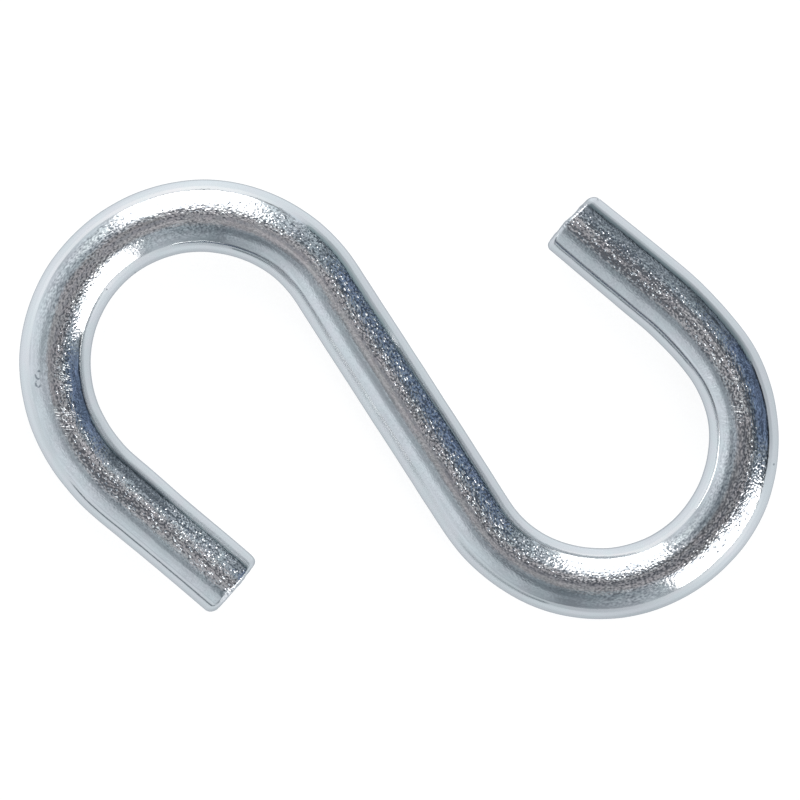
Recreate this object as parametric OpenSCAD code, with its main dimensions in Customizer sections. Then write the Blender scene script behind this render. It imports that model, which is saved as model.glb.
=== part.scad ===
// S hook bent cold from one length of round plated steel wire, lying flat.
// The shank runs straight between two open eyes that turn the same way round,
// so that one opens to each side. Both eyes lie on one line, the line of the load.

/* [Wire] */
// Diameter of the wire over its plating
wire_d = 4.8; // [3:0.1:8]
// Straight length of the shank between the two bends
shank_len = 18.45; // [14:0.05:30]

/* [Left eye] */
// How much thinner the bending left the wire in the left eye
left_draw = 0.05; // [0.03:0.01:0.2]
// Inside radius of the left eye
left_eye_r = 7.38; // [6:0.02:10]
// How far the left eye turns at that radius, in degrees
left_eye_turn = 175; // [150:1:185]
// Inside radius that the left eye eases out to where it left the bending pin
left_ease_r = 9.93; // [7:0.01:30]
// How far it turns at the easier radius, in degrees
left_ease_turn = 21.9; // [5:0.1:26]
// Straight tail of the left eye, with its cut end
left_tail = 10.38; // [6:0.02:13]

/* [Right eye] */
// How much thinner the bending left the wire in the right eye
right_draw = 0.11; // [0.03:0.01:0.2]
// Inside radius of the right eye
right_eye_r = 7.2; // [6:0.02:10]
// How far the right eye turns at that radius, in degrees
right_eye_turn = 185.2; // [150:0.1:190]
// Inside radius that the right eye eases out to where it left the bending pin
right_ease_r = 20.9; // [7:0.1:40]
// How far it turns at the easier radius, in degrees
right_ease_turn = 12.4; // [5:0.1:18]
// Straight tail of the right eye, with its cut end
right_tail = 7.92; // [5:0.02:11]

/* [Cut ends] */
// Rounding of the rim round each cut end
rim_r = 0.36; // [0.1:0.02:0.45]
// Rounding of the side that the shear pulled over
rollover_r = 0.56; // [0.5:0.02:1]
// Slope of the torn facet at the top of each cut end, from the square cut face, in degrees
torn_slope = 45; // [35:1:60]
// How far the torn facet reaches back along the left tail
left_torn = 0.34; // [0.2:0.02:0.6]
// How far the torn facet reaches back along the right tail
right_torn = 0.18; // [0.12:0.02:0.5]
// Roll of the left torn facet round the wire from the top, in degrees
left_torn_roll = 16; // [0:1:40]
// Roll of the right torn facet round the wire from the top, in degrees
right_torn_roll = 24; // [0:1:40]

/* [Hidden] */
$fn = 96;

wire_r = wire_d / 2;
// Each bend runs this far inside the thicker wire on both sides of it
lap = 0.2;
// How deep the rollover bites into the side and the end of the wire
rollover_bite = 0.01;
// Bend radii at the middle of the wire
left_mid_r = left_eye_r + wire_r;
right_mid_r = right_eye_r + wire_r;

// The shank leans by this much from the line through the centres of the two eyes
lean = atan((left_mid_r + right_mid_r) / shank_len);

// Where the middle of the wire ends, as [x, y, heading], after a bend to the left
function after_bend(at, inside_r, turn) =
    let (r = inside_r + wire_r)
    [at[0] + r * (sin(at[2] + turn) - sin(at[2])),
     at[1] - r * (cos(at[2] + turn) - cos(at[2])),
     at[2] + turn];

// The same after a straight
function after_straight(at, length) =
    [at[0] + length * cos(at[2]), at[1] + length * sin(at[2]), at[2]];

// The same at the cut end of an eye that starts in the middle of the shank
function cut_end(heading, eye_r, turn, ease_r, ease_turn, tail) =
    let (eye_start = after_straight([0, 0, heading], shank_len / 2))
    let (ease_start = after_bend(eye_start, eye_r, turn))
    let (tail_start = after_bend(ease_start, ease_r, ease_turn))
    after_straight(tail_start, tail);

left_end = cut_end(180 - lean, left_eye_r, left_eye_turn, left_ease_r, left_ease_turn, left_tail);
right_end = cut_end(-lean, right_eye_r, right_eye_turn, right_ease_r, right_ease_turn, right_tail);

// How far an eye reaches from the middle of the shank along the line of the load
function eye_reach(mid_r, draw) =
    shank_len / 2 * cos(lean) + mid_r * sin(lean) + mid_r + wire_r - draw / 2;
left_x = -eye_reach(left_mid_r, left_draw);
right_x = eye_reach(right_mid_r, right_draw);

// How far the rollover of a cut end reaches past the middle of the wire, across that line
function rollover_reach(heading) =
    let (inset = rollover_bite + rollover_r)
    (wire_r - inset) * abs(cos(heading)) - inset * abs(sin(heading)) + rollover_r;
low_y = left_end[1] - rollover_reach(left_end[2]);
high_y = right_end[1] + rollover_reach(right_end[2]);

// Each piece of wire starts at the origin and runs along +X, and what follows it is its child.
// A bend turns to the left, and its wire is thinner than the straights by its draw.
module bend(inside_r, turn, draw) {
    mid_r = inside_r + wire_r;
    lap_turn = lap / mid_r * 180 / PI;
    translate([0, mid_r, 0]) {
        rotate([0, 0, -90 - lap_turn])
            rotate_extrude(angle = turn + 2 * lap_turn)
                translate([mid_r, 0])
                    circle(r = wire_r - draw / 2);
        rotate([0, 0, turn])
            translate([0, -mid_r, 0])
                children();
    }
}

// Half the lengthwise section of a tail, with its rim rounded
module tail_profile(length) {
    square([wire_r, length - rim_r]);
    square([wire_r - rim_r, length]);
    translate([wire_r - rim_r, length - rim_r])
        circle(r = rim_r);
}

// What the shear pulled over on one side of a cut end, -Y
module rollover(length) {
    inset = rollover_bite + rollover_r;
    translate([length - inset, inset - wire_r, -wire_r])
        linear_extrude(height = wire_d)
            difference() {
                translate([0, -wire_d])
                    square(wire_d);
                circle(r = rollover_r);
            }
}

// The facet that tore off at the top of a cut end, rolled round the wire
module torn_facet(length, depth, roll) {
    rotate([roll, 0, 0])
        translate([length - depth, 0, wire_r])
            rotate([0, 90 - torn_slope, 0])
                translate([-wire_d, -wire_d, 0])
                    cube(2 * wire_d);
}

// Straight tail with its cut end
module tail(length, torn, roll) {
    difference() {
        rotate([0, 90, 0])
            rotate_extrude()
                tail_profile(length);
        rollover(length);
        torn_facet(length, torn, roll);
    }
}

module hook() {
    color([0.72, 0.76, 0.8])
        translate([-(left_x + right_x) / 2, -(low_y + high_y) / 2, wire_r])
            rotate([0, 0, -lean]) {
                rotate([0, 90, 0])
                    cylinder(r = wire_r, h = shank_len, center = true);
                translate([shank_len / 2, 0, 0])
                    bend(right_eye_r, right_eye_turn, right_draw)
                        bend(right_ease_r, right_ease_turn, right_draw / 2)
                            tail(right_tail, right_torn, right_torn_roll);
                rotate([0, 0, 180])
                    translate([shank_len / 2, 0, 0])
                        bend(left_eye_r, left_eye_turn, left_draw)
                            bend(left_ease_r, left_ease_turn, left_draw / 2)
                                tail(left_tail, left_torn, left_torn_roll);
            }
}

hook();
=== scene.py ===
import math

import bpy
import numpy as np
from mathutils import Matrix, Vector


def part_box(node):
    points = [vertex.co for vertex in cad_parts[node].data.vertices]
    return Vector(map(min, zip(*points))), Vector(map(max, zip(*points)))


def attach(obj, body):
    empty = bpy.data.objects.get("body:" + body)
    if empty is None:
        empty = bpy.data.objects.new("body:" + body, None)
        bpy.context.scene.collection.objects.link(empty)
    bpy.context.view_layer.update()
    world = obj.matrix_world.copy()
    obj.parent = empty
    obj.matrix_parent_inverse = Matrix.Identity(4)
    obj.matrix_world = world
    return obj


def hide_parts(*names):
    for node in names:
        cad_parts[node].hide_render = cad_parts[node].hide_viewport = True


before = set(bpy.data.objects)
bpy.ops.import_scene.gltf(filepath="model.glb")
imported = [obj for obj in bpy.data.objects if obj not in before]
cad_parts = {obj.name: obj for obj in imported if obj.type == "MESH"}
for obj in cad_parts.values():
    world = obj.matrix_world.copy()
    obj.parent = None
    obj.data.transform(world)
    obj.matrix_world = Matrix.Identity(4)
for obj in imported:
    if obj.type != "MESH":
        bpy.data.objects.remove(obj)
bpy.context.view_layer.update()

# The wire: one length of soft steel wire, drawn round to 4.8 mm and bent cold round two pins into
# an S with a straight shank. Each bend left the wire a little narrower where the pin and the wiper
# gripped it, with a faint swelling where the grip ended. All sizes are in mm.
MM = 0.001
wire_r = 2.4
shank = 18.45
# Inside radius and turn in degrees of each eye and of the easier stretch that follows it, and the
# length of each tail
left_eye = (7.38, 175)
left_ease = (9.93, 21.9)
left_tail = 10.38
right_eye = (7.2, 185.2)
right_ease = (20.9, 12.4)
right_tail = 7.92
# A bend sets in over this length, and the middle of the wire is worked out at points this far apart
bend_onset = 1.6
walk_step = 0.02


def arm(eye, ease, tail):
    """Length and curvature of each stretch of one half of the S, from the middle of the shank."""
    runs = [(shank / 2, 0)]
    for inside_r, turn in (eye, ease):
        mid_r = inside_r + wire_r
        runs.append((mid_r * math.radians(turn), 1 / mid_r))
    return runs + [(tail, 0)]


def walk(heading, runs):
    """Points and headings of the middle of the wire along one half of the S."""
    turning = np.concatenate([np.full(round(length / walk_step), curve) for length, curve in runs])
    onset = round(bend_onset / walk_step)
    padded = np.pad(turning, onset, mode="edge")
    turning = np.convolve(padded, np.ones(onset) / onset, mode="same")[onset:-onset]
    headings = heading + np.cumsum(turning) * walk_step
    steps = np.stack([np.cos(headings), np.sin(headings)], -1) * walk_step
    return np.vstack([[0, 0], np.cumsum(steps, axis=0)]), np.concatenate([[heading], headings])


lean = math.atan((left_eye[0] + right_eye[0] + 2 * wire_r) / shank)
left_line, left_headings = walk(math.pi - lean, arm(left_eye, left_ease, left_tail))
right_line, right_headings = walk(-lean, arm(right_eye, right_ease, right_tail))
line = np.vstack([left_line[::-1], right_line[1:]])
line_heading = np.concatenate([left_headings[::-1] - math.pi, right_headings[1:]])
line_place = np.arange(len(line)) * walk_step
wire_length = line_place[-1]

# The S lies where the solid hook does: the eyes reach as far to both sides, and so do the tails
low, high = (np.array(corner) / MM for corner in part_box("hook"))
mid_x = (line[:, 0].min() + line[:, 0].max()) / 2
mid_y = (line[0, 1] + line[-1, 1]) / 2
line += np.array([(low[0] + high[0]) / 2 - mid_x, (low[1] + high[1]) / 2 - mid_y])

# Change of the half width along the wire, as (place, change), from the left cut end
grip_marks = ((0, -0.02), (6, -0.025), (9.8, 0.03), (13, -0.015), (19, -0.035), (30, -0.06),
              (38, 0.0), (43, -0.02), (53, 0.01), (62, 0.0), (66.6, -0.085), (73, -0.035),
              (80, -0.06), (84, -0.045), (89, -0.09), (93.5, -0.03), (100, 0.025), (107.4, -0.045))
# Where the wire is bent, and how much lower it is there
bent = ((9, 0), (14, 1), (38, 1), (46, 0), (62, 0), (68, 1), (92, 1), (99, 0))
bend_sink = 0.02
# The mesh has this many points round the wire, in rings about this far apart
sides = 128
rings_apart = 0.165


def along_wire(marks, place):
    """A curve through a few (place, value) marks that is level at each of them."""
    places, values = np.array(marks, float).T
    k = np.clip(np.searchsorted(places, place) - 1, 0, len(places) - 2)
    t = np.clip((place - places[k]) / (places[k + 1] - places[k]), 0, 1)
    return values[k] + (values[k + 1] - values[k]) * t * t * (3 - 2 * t)


def ripple(points, size, seed, count=24):
    """A smooth random relief from about -1 to 1, with hollows of about this size, from many waves."""
    draw = np.random.RandomState(seed)
    waves = draw.normal(size=(count, 3))
    lengths = draw.uniform(0.7, 1.3, count) * math.pi / size
    waves *= (lengths / np.linalg.norm(waves, axis=1))[:, None]
    phases = draw.uniform(0, 2 * math.pi, count)
    return np.cos(points @ waves.T + phases).sum(-1) / math.sqrt(count / 2)


around = np.linspace(0, 2 * math.pi, sides, endpoint=False)
# Height of the small hollows of the surface, of the broad ones, which the bending doubled, and of
# the long waves that the drawing left
small_relief = 0.003
broad_relief = 0.004
drawn_relief = 0.007
# The body of the wire stops this far short of each cut end
body_from = 0.66
body_rings = round((wire_length - 2 * body_from) / rings_apart)
# Every ring holds, for each point round the wire, its place along the straightened wire, how far
# it lies to the left and above the middle of the wire, and how torn its surface is
rings = []
for place in np.linspace(body_from, wire_length - body_from, body_rings):
    in_bend = along_wire(bent, place)
    half_w = wire_r + along_wire(grip_marks, place)
    half_h = wire_r - bend_sink * in_bend
    ring = np.stack([np.full(sides, place), half_w * np.cos(around), half_h * np.sin(around),
                     np.zeros(sides)], -1)
    surface = ring[:, :3]
    relief = small_relief * ripple(surface, 1.1, 5)
    relief += broad_relief * (1 + in_bend) * ripple(surface, 2.6, 6)
    relief += drawn_relief * ripple(surface * (0.22, 1, 1), 1.3, 7)
    ring[:, 1] += relief * np.cos(around)
    ring[:, 2] += relief * np.sin(around)
    rings.append(ring)

# The cut ends: both were sheared off square. The blade pulled the steel over where it bit, which is
# on the right looking out of each end, left the face a little domed and stepped, and tore a small
# facet out of the top of the rim.
left_cut = dict(pulled_r=0.55, far_r=0.4, dome=0.085, tilt=0.015, step=-0.03, step_at=0.9,
                facet=0.24, facet_roll=21, seed=11)
right_cut = dict(pulled_r=0.62, far_r=0.34, dome=0.1, tilt=0.06, step=0.085, step_at=0.0,
                 facet=0.2, facet_roll=28, seed=31)
# Each cut face starts this far inside the end of the straight tail
recess = 0.1
facet_slope = math.tan(math.radians(45))
# The rim is rounded by this share less at its top
top_sharpness = 0.68
# Softness of the edge of the step, size of the waves in it and how tightly they turn, in radians to
# the mm, and softness of the edge of the facet
step_edge = 0.06
step_wave = 0.15
step_wave_turn = 2.1
facet_edge = 0.012
# Height of the coarse and of the fine pits in the face, and of the coarse ones in the facet
coarse_pits = 0.012
fine_pits = 0.006
rim_rings = 12
face_rings = 22


def rising(value, edge):
    """0 well below 0 and 1 well above it, with a smooth change between them."""
    return 1 / (1 + np.exp(-value / edge))


def cut_rings(cut, half_w, left):
    """Rings over the rim and the face of a cut end, from the body outwards, with left as its left."""
    angle = np.arctan2(np.sin(around), left * np.cos(around))
    far = (1 + np.cos(angle)) / 2
    rim = cut["pulled_r"] + (cut["far_r"] - cut["pulled_r"]) * far ** 0.7
    rim = rim * (1 - top_sharpness * np.clip(np.sin(angle), 0, 1) ** 2)
    bends = np.linspace(0, math.pi / 2, rim_rings)
    insets = [(rim * (1 - math.cos(bend)), rim * (1 - math.sin(bend))) for bend in bends]
    insets += [(rim + (wire_r - rim) * k / face_rings, 0) for k in range(1, face_rings)]
    roll = math.radians(cut["facet_roll"])
    seed = cut["seed"]
    for inset, back in insets:
        y, z = (half_w - inset) * np.cos(angle), (wire_r - inset) * np.sin(angle)
        surface = np.stack([y, z, 0 * y], -1)
        pitted = coarse_pits * ripple(surface, 0.5, seed) + fine_pits * ripple(surface, 0.22, seed + 1)
        stepped = rising(y - cut["step_at"] - step_wave * np.sin(step_wave_turn * z), step_edge) - 0.5
        out = cut["dome"] * (1 - (y * y + z * z) / wire_r ** 2) + cut["tilt"] * y / wire_r
        out = out + np.clip(inset / rim, 0, 1) * (pitted + cut["step"] * stepped) - back - recess
        # The facet takes away what stands out beyond a slope that starts at the top of the wire
        below_top = wire_r - z * math.cos(roll) + y * math.sin(roll)
        facet = below_top * facet_slope - cut["facet"] - recess
        facet = facet + coarse_pits * ripple(surface, 0.45, seed + 2)
        yield np.stack([np.minimum(out, facet), left * y, z, rising(out - facet, facet_edge)], -1)


ends = []
for cut, place, outwards in ((left_cut, 0, -1), (right_cut, wire_length, 1)):
    end = list(cut_rings(cut, wire_r + along_wire(grip_marks, place), outwards))
    for ring in end:
        ring[:, 0] = place + outwards * ring[:, 0]
    ends.append(end)
rings = np.array(ends[0][::-1] + rings + ends[1])

# One point in the middle closes each cut face
spots = np.vstack([rings.reshape(-1, 4), rings[[0, -1]].mean(1)])
# The blade also dragged the right side of the left cut end inwards, by this share of the radius at
# the cut, and less and less as far as this place
drag = 0.03
drag_reach = 1.3
dragged_in = drag * np.clip(1 - spots[:, 0] / drag_reach, 0, 1) ** 2
dragged_in *= np.clip(0.5 - spots[:, 1] / wire_r, 0, 1)
spots[:, 1:3] *= 1 - dragged_in[:, None]

# The rings follow the S
place = np.clip(spots[:, 0], 0, wire_length)
beyond = spots[:, 0] - place
heading = np.interp(place, line_place, line_heading)
ahead = np.stack([np.cos(heading), np.sin(heading)], -1)
to_left = np.stack([-ahead[:, 1], ahead[:, 0]], -1)
middle = np.stack([np.interp(place, line_place, line[:, k]) for k in range(2)], -1)
flat = middle + ahead * beyond[:, None] + to_left * spots[:, 1:2]
points = np.column_stack([flat, wire_r + spots[:, 2]]) * MM

# The side of the wire that faces to the upper right kept most of its grain, as a cosine
grain_side = math.radians(46)
grain_kept = spots[:, 1] / wire_r * (to_left @ (math.cos(grain_side), math.sin(grain_side)))

first = np.arange(len(rings) - 1)[:, None] * sides
here = np.arange(sides)
there = (here + 1) % sides
walls = np.stack([first + here, first + sides + here, first + sides + there, first + there], -1)
faces = walls.reshape(-1, 4).tolist()
last = (len(rings) - 1) * sides
faces += [(int(k), int(n), len(points) - 2) for k, n in zip(here, there)]
faces += [(last + int(n), last + int(k), len(points) - 1) for k, n in zip(here, there)]

mesh = bpy.data.meshes.new("hook_wire")
mesh.from_pydata(points.tolist(), [], faces)
mesh.attributes.new("straightened", "FLOAT_VECTOR", "POINT").data.foreach_set(
    "vector", spots[:, :3].astype(np.float32).ravel())
for name, values in (("torn", spots[:, 3]), ("grained", grain_kept)):
    mesh.attributes.new(name, "FLOAT", "POINT").data.foreach_set("value", values.astype(np.float32))
mesh.shade_smooth()
hook = bpy.data.objects.new("hook_wire", mesh)
bpy.context.scene.collection.objects.link(hook)
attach(hook, "root")
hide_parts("hook")


# The plating: the bent hook was tumbled in a barrel and plated with zinc, then dipped in a clear
# blue passivate. The zinc is mirror bright, but it copies the fine grain of the pickled wire.
class Wired:
    """A socket of a node tree. Arithmetic on it adds Math nodes, and add() adds any other node."""

    def __init__(self, tree, socket=None):
        self.tree = tree
        self.socket = socket

    def add(self, kind, settings=None, inputs=None, output=0):
        """One output of a new node with these settings and with these values or links put in."""
        node = self.tree.nodes.new(kind)
        for name, value in (settings or {}).items():
            if name == "stops":
                ramp = node.color_ramp.elements
                for k, (at, colour) in enumerate(value):
                    stop = ramp[k] if k < 2 else ramp.new(at)
                    stop.position = at
                    stop.color = (*colour, 1)
            else:
                setattr(node, name, value)
        for name, value in (inputs or {}).items():
            if isinstance(value, Wired):
                self.tree.links.new(value.socket, node.inputs[name])
            else:
                node.inputs[name].default_value = value
        return Wired(self.tree, node.outputs[output])

    def maths(self, operation, *values):
        """What a Math node makes of these values."""
        return self.add("ShaderNodeMath", {"operation": operation}, dict(enumerate(values)))

    def __add__(self, other):
        return self.maths("ADD", self, other)

    def __sub__(self, other):
        return self.maths("SUBTRACT", self, other)

    def __mul__(self, other):
        return self.maths("MULTIPLY", self, other)

    def __truediv__(self, other):
        return self.maths("DIVIDE", self, other)

    def __rsub__(self, other):
        return self.maths("SUBTRACT", other, self)

    def __abs__(self):
        return self.maths("ABSOLUTE", self)

    __radd__ = __add__
    __rmul__ = __mul__

    def step(self, start, end):
        """0 up to start and 1 from end on, with a smooth change between them."""
        return self.add("ShaderNodeMapRange", {"interpolation_type": "SMOOTHSTEP"},
                        {"Value": self, "From Min": start, "From Max": end})

    def band(self, start, full, fading, end):
        """0 up to start, 1 from full to fading and 0 from end on, with smooth changes between."""
        return self.step(start, full) * (1 - self.step(fading, end))

    def stretch(self, x, y, z):
        """A vector scaled by a different factor along each axis."""
        return self.add("ShaderNodeVectorMath", {"operation": "MULTIPLY"}, {0: self, 1: (x, y, z)})

    def noise(self, size, detail=2.0, roughness=0.5):
        """Noise from 0 to 1 over this vector, with patches of about this size."""
        return self.add("ShaderNodeTexNoise", None,
                        {"Vector": self, "Scale": 0.6 / size, "Detail": detail, "Roughness": roughness})

    def between(self, low, high):
        """The colour low where this mask is 0, high where it is 1, and a mix in between."""
        return self.add("ShaderNodeMix", {"data_type": "RGBA"}, {0: self, 6: low, 7: high}, output=2)


plating = bpy.data.materials.new("bright_zinc")
plating.use_nodes = True
steel = Wired(plating.node_tree)
spot = steel.add("ShaderNodeAttribute", {"attribute_name": "straightened"}, output="Vector")
torn = steel.add("ShaderNodeAttribute", {"attribute_name": "torn"}, output="Fac")
grained = steel.add("ShaderNodeAttribute", {"attribute_name": "grained"}, output="Fac")
# The straightened wire again, drawn out lengthwise as the patches, the grain and the die lines are
drawn = spot.stretch(0.45, 1, 1)
grain = spot.stretch(0.7, 1, 1)
die = spot.stretch(0.05, 1, 1)
streak = spot.stretch(0.025, 1, 1)

# Where along the wire, how far to its left and how high each spot is. The top and the bottom of the
# wire, the crowns, kept more of the grain than the flanks, and so did the tails.
along, aside, upright = (spot.add("ShaderNodeSeparateXYZ", None, {0: spot}, output=k) for k in range(3))
upright = upright / wire_r
crown = abs(upright).step(0.7, 0.86)
on_tails = 1 - along.step(10, 20) + along.step(86, 93)
on_bends = along.band(21, 24, 33, 40) + along.band(70, 76, 84, 92)
grained = (grained + on_tails * 0.24).step(-0.1, 0.14)
# Handling wore the grain off the right side of both tails, from these places on
worn = along.band(6, 8, 19.5, 22) + along.step(86, 89)
grained = grained * (1 - worn * (1 - aside.step(-1.15, -0.7)) * 0.75)
patches = drawn.noise(1.5).step(0.35, 0.62)
strength = (patches * 0.6 + 0.4) * (crown * 0.85 + 0.15)

# Rounded beads an eighth of a millimetre across and finer grain, with bright pips where the grain
# was kept best. The bending pins smoothed the wire of both bends.
beads = grain.add("ShaderNodeTexVoronoi", None, {"Vector": grain, "Scale": 8.0}, output="Distance")
height = (beads * beads * 0.018 + grain.noise(0.13, detail=0.0) * 0.014) * strength * (grained * 0.65 + 0.35)
pips, which = (grain.add("ShaderNodeTexVoronoi", None, {"Vector": grain, "Scale": 5.0}, output=name)
               for name in ("Distance", "Color"))
which = which.add("ShaderNodeSeparateXYZ", None, {0: which})
pips = (1 - pips.step(0.0, 0.38)) * which.step(0.2, 0.55)
smoothed = along.band(20, 23, 37, 41) + along.band(69, 72, 77, 81) * 0.9 + along.band(82, 84, 92, 95) * 0.5
height = height + pips * (strength * 0.7 + 0.3) * crown * grained * (1 - smoothed * 0.85) * 0.055
# Fine lines of the drawing die, and faint swells
height = height + die.noise(0.14, detail=1.0) * crown * 0.006 + drawn.noise(0.9, detail=1.0) * 0.006
# Short slanting scrapes across the wire, where the wiper bore on the end of each bend
scraped = along.band(12.5, 17, 18, 21.5) * aside.band(-1.25, -0.8, 0.2, 1.2)
scraped = scraped + along.band(87, 91, 92, 96) * aside.step(-1.2, 0.2) * 0.7
scrapes = spot.add("ShaderNodeMapping", {"vector_type": "TEXTURE"},
                   {"Vector": spot, "Rotation": (0, 0, -0.4), "Scale": (1, 8, 8)})
scrapes = scrapes.noise(0.06).step(0.5, 0.66) * drawn.noise(0.6).step(0.4, 0.56) * scraped * crown
height = height + scrapes * 0.016 + torn * spot.noise(0.18, detail=3.0) * 0.012
bump = steel.add("ShaderNodeBump", None, {"Height": height, "Distance": MM})

# Single grains and streaks along the wire are brighter or darker, most where the grain was kept
grit = (grain.noise(0.075, detail=0.0) - 0.5) * 6.0
streaks = (streak.noise(0.15) - 0.53) * 3.0 * upright.step(0.75, 1.0)
streaks = streaks * (on_tails * 1.6 + along.step(66, 76) * (1.3 - along.step(80, 86) * 0.7) + 0.3)
speckled = grained * 0.88 + on_bends * 0.25 + upright.step(0.93, 0.98) * 0.12 + 0.04
bright = (grit + streaks) * crown * speckled * (patches * 0.4 + 0.6) + scrapes * 0.4 + 0.57
# Painted highlights: a lighter strip along the middle of the top of the left bend and the shank, and
# a lighter strip on the right of the left tail. Painted shade: a darker strip on the left of the
# right bend, and along the right side of both tails.
painted_top_highlight = along.band(20, 26, 54, 64) * (1 - abs(aside + 0.05).step(0.05, 0.45))
painted_tail_highlight = (1 - along.step(11, 14)) * aside.band(-1.1, -0.8, -0.6, -0.35)
painted_bend_shade = along.band(78, 84, 92, 97) * aside.band(-0.15, 0.15, 0.8, 1.1)
painted_tails_shade = along.band(6, 8, 11.5, 14) + along.step(91, 95) * 0.6
painted_tails_shade = painted_tails_shade * aside.band(-1.95, -1.65, -1.15, -0.75)
# The painted highlights lighten the zinc's colour here and the painted shade darkens it
bright = bright + painted_top_highlight * 0.3 + painted_tail_highlight * 0.5 - painted_bend_shade * 0.3 - painted_tails_shade * 0.6
# Two broken loops that something scuffed into the plating, and a few dark dots: the place of each
# along and aside, and the radius of its loop
scuffs = ((19.14, 0.99, 0.24), (18.62, 1.12, 0.16), (16.6, -1.67, 0),
          (26.3, -1.81, 0), (29.0, -2.3, 0), (86.7, -2.06, 0))
broken = spot.noise(0.25).step(0.5, 0.56)
for scuff_along, scuff_aside, loop_r in scuffs:
    away = spot.add("ShaderNodeVectorMath", {"operation": "DISTANCE"},
                    {0: spot.stretch(1, 1, 0), 1: (scuff_along, scuff_aside, 0)}, output="Value")
    scuffed = 1 - abs(away - loop_r).step(0.03, 0.09)
    if loop_r:
        scuffed = scuffed * (1 - broken)
    bright = bright - scuffed * 0.6

# A haze lies over the zinc in patches, and the crown gets duller towards the right eye. The zinc is
# faintly pink in places and faintly green in others.
dull_zinc = (0.3, 0.32, 0.345, 1)
pink_zinc = (1.0, 0.985, 0.99, 1)
green_zinc = (0.965, 1.0, 0.99, 1)
haze = drawn.noise(2.4, detail=3.0).step(0.45, 0.75)
duller = along.step(34, 72) * 1.5 - 0.5
bright = bright - haze * 0.1 - duller * 0.16 * (grained * crown * 0.8 + 0.2) + 0.1
tint = spot.noise(0.7).step(0.3, 0.7).between(pink_zinc, green_zinc)
# The shank was dragged over its right flank and is duller there
dragged = along.band(37, 44, 66, 72) * (1 - aside.step(-1.75, -1.5))
shader = plating.node_tree.nodes["Principled BSDF"]
shader.inputs["Metallic"].default_value = 1
for name, wired in (("Base Color", bright.between(dull_zinc, tint)),
                    ("Roughness", haze * 0.06 + torn * 0.12 + dragged * 0.15 + 0.08),
                    ("Normal", bump)):
    plating.node_tree.links.new(wired.socket, shader.inputs[name])
mesh.materials.append(plating)

# The table: a plain white top that the hook lies flat on. It glows a little where the eye sees it,
# so that it stays white, and the zinc sees through it to the white board under the studio.
floor_half = 3.0
corners = [(x * floor_half, y * floor_half, 0) for x, y in ((-1, -1), (1, -1), (1, 1), (-1, 1))]
floor_mesh = bpy.data.meshes.new("table_top")
floor_mesh.from_pydata(corners, [], [(0, 1, 2, 3)])
table = bpy.data.objects.new("table_top", floor_mesh)
bpy.context.scene.collection.objects.link(table)

table_paint = (0.2, 0.2, 0.2, 1)
table_glow = 0.88
# The share of what the zinc mirrors that comes through the table
see_through = 0.9
table_white = bpy.data.materials.new("table_white")
table_white.use_nodes = True
top = Wired(table_white.node_tree)
top.tree.nodes.remove(top.tree.nodes["Principled BSDF"])
glossy_ray = top.add("ShaderNodeLightPath", output="Is Glossy Ray")
paint = top.add("ShaderNodeBsdfDiffuse", None, {"Color": table_paint})
glow = top.add("ShaderNodeEmission", None, {"Color": (1, 1, 1, 1), "Strength": table_glow})
painted = top.add("ShaderNodeAddShader", None, {0: paint, 1: glow})
clear = top.add("ShaderNodeBsdfTransparent")
seen = top.add("ShaderNodeMixShader", None, {0: glossy_ray * see_through, 1: painted, 2: clear})
top.tree.links.new(seen.socket, top.tree.nodes["Material Output"].inputs["Surface"])
floor_mesh.materials.append(table_white)

# The camera: straight above the table with a long lens, turned so that the line through both eyes
# slopes down to the right.
view_turn = math.radians(10.82)
view_width = 0.05304
view_centre = (0.000024, 0.000228)
camera_height = 0.6
camera = bpy.data.objects.new("camera", bpy.data.cameras.new("camera"))
bpy.context.scene.collection.objects.link(camera)
camera.location = (*view_centre, camera_height)
camera.rotation_euler = (0, 0, view_turn)
# The view is this wide at the height of the middle of the wire
camera.data.lens = camera.data.sensor_width * (camera_height - wire_r * MM) / view_width
camera.data.clip_start = 0.01
bpy.context.scene.camera = camera

# The studio: a grey room with two white soft boxes, one beyond the table and one at its near right,
# and a dark blue cloth to the right. A white board lies under the table, short of the near edge.
studio = bpy.data.worlds.new("studio")
studio.use_nodes = True
bpy.context.scene.world = studio
room = Wired(studio.node_tree)
# Directions are in degrees: the bearing from the right of the picture, and the rise over the table
ray = room.add("ShaderNodeTexCoord", output="Generated")
east, north, up = (room.add("ShaderNodeSeparateXYZ", None, {0: ray}, output=k) for k in range(3))
degrees = 180 / math.pi
bearing = north.maths("ARCTAN2", north, east) * degrees - math.degrees(view_turn)
bearing = bearing.maths("WRAP", bearing, 360.0, 0.0)
rise = up.maths("ARCSINE", up) * degrees
# How much of the light the zinc gives back
zinc = (0.785, 0.8, 0.803)


def from_zinc(red, green, blue):
    """What the room gives off where the zinc reads as this colour on a screen, in parts of 255."""
    on_screen = [(part / 255) ** 2.2 for part in (red, green, blue)]
    return (*(part / given_back for part, given_back in zip(on_screen, zinc)), 1)


def wall(*marks):
    """A cool grey for each bearing, from (bearing, lightness) marks. White is less cool."""
    stops = []
    for at, lightness in marks:
        cool = min(1, (255 - lightness) / 28)
        shade = from_zinc(lightness - 9 * cool, lightness, lightness + 7 * cool)
        stops.append((at / 360, shade[:3]))
    return room.add("ShaderNodeValToRGB", {"stops": stops}, {"Fac": bearing / 360})


def card(middle, half_width, bottom, top, soft, fade=None, sag=0):
    """Where a card or a gap is seen, as a mask. Its top may fade over more than its other edges, and
    may be this much lower at its sides than in its middle."""
    off = bearing - middle
    off = abs(off.maths("WRAP", off, 180.0, -180.0))
    across = 1 - off.step(half_width - soft, half_width + soft)
    fade = fade or soft
    sagged = rise + off * off * (sag / half_width ** 2)
    return across * rise.step(bottom - soft, bottom + soft) * (1 - sagged.step(top - fade, top + fade))


def gained(light, gain):
    """The light made this many times as strong."""
    return light.add("ShaderNodeVectorMath", {"operation": "SCALE"}, {0: light, "Scale": gain})


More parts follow.
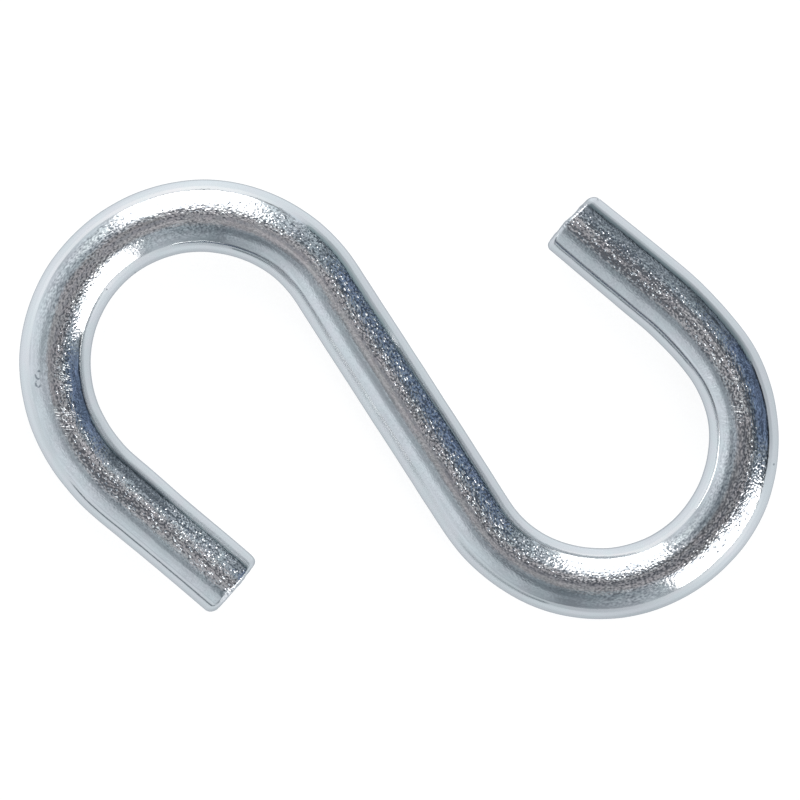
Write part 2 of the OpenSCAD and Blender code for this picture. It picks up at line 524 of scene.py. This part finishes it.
# How light the zinc mirrors each wall and each part of the board, as (bearing, lightness) marks where
# that changes. The far and the left side of the room are pale, and the right and the near left dark.
low_wall = wall((0, 110), (45, 120), (60, 170), (120, 205), (145, 190), (170, 210), (200, 210),
                (225, 200), (240, 175), (260, 130), (290, 170), (345, 130), (360, 110))
high_wall = wall((0, 110), (45, 125), (60, 160), (120, 170), (140, 150), (190, 175), (220, 160),
                 (240, 120), (260, 110), (290, 155), (345, 125), (360, 110))
far_board = wall((0, 175), (45, 155), (60, 215), (80, 240), (100, 245), (160, 230), (195, 205),
                 (225, 200), (260, 175), (280, 190), (320, 235), (340, 220), (360, 175))
near_board = wall((0, 200), (30, 200), (90, 230), (120, 230), (180, 215), (240, 200), (290, 205),
                  (320, 220), (360, 200))
deep_board = wall((0, 195), (20, 195), (40, 210), (90, 225), (120, 215), (180, 205), (240, 185),
                  (285, 180), (330, 200), (360, 195))
ceiling = from_zinc(140, 140, 143)
soft_box = (3.2, 3.2, 3.2, 1)

# The walls and the ceiling, the dark blue cloth at the right, a pale panel at the far left and a dark
# shelf low at the right
light = rise.step(28, 48).between(low_wall, high_wall)
light = rise.step(56, 72).between(light, ceiling)
light = card(17, 20, 6, 52, 5).between(light, from_zinc(90, 104, 126))
light = card(128, 9, 26, 44, 4).between(light, from_zinc(214, 224, 228))
light = card(8, 18, -4, 9, 2).between(light, from_zinc(44, 52, 62))
# Things stand about in the room, most of them to the right and above
cluttered = card(35, 75, -90, 90, 25) * 0.85 + rise.step(42, 62) * 0.3 + 0.15
cluttered = cluttered.maths("MINIMUM", cluttered, 1.0)
clutter = ray.noise(0.08, detail=1.0).step(0.36, 0.64)
light = gained(light, 1 + (clutter * 1.3 - 0.6) * cluttered)
# The soft box beyond the table and the light it throws round itself, then the one at the near right
# with a smaller one beside it, and the dark of the camera overhead
light = (card(96, 29, 0, 72, 6) * 0.35).between(light, from_zinc(205, 209, 212))
light = card(96, 24, 4, 60, 1.5, fade=7, sag=9).between(light, soft_box)
light = card(313, 13.5, 2, 61, 1.5, fade=5, sag=3).between(light, soft_box)
light = card(335, 9, 2, 42, 1.5, fade=6, sag=6).between(light, soft_box)
light = rise.step(80, 87).between(light, from_zinc(118, 120, 126))
# The board under the table, with a gap at the near left, and its shaded middle
board = (1 - rise.step(-22, -16)).between(far_board, near_board)
board = (1 - rise.step(-52, -32)).between(board, deep_board)
board = card(236, 17, -17.6, -10.8, 1.3).between(board, from_zinc(76, 90, 99))
board = (1 - rise.step(-76, -54)).between(board, from_zinc(150, 158, 166))
light = (1 - rise.step(-3, -1)).between(light, board)
# A dark strip low over the table at the far right, and a blue green card below it
light = card(40, 14, 7, 13, 1.2).between(light, from_zinc(44, 54, 63))
light = card(40, 14, -8, 7, 1.2).between(light, from_zinc(124, 140, 146))
# The eye sees plain white past the table
camera_ray = room.add("ShaderNodeLightPath", output="Is Camera Ray")
light = camera_ray.between(light, (1, 1, 1, 1))
room.tree.links.new(light.socket, room.tree.nodes["Background"].inputs["Color"])
bpy.context.scene.view_settings.view_transform = "Standard"
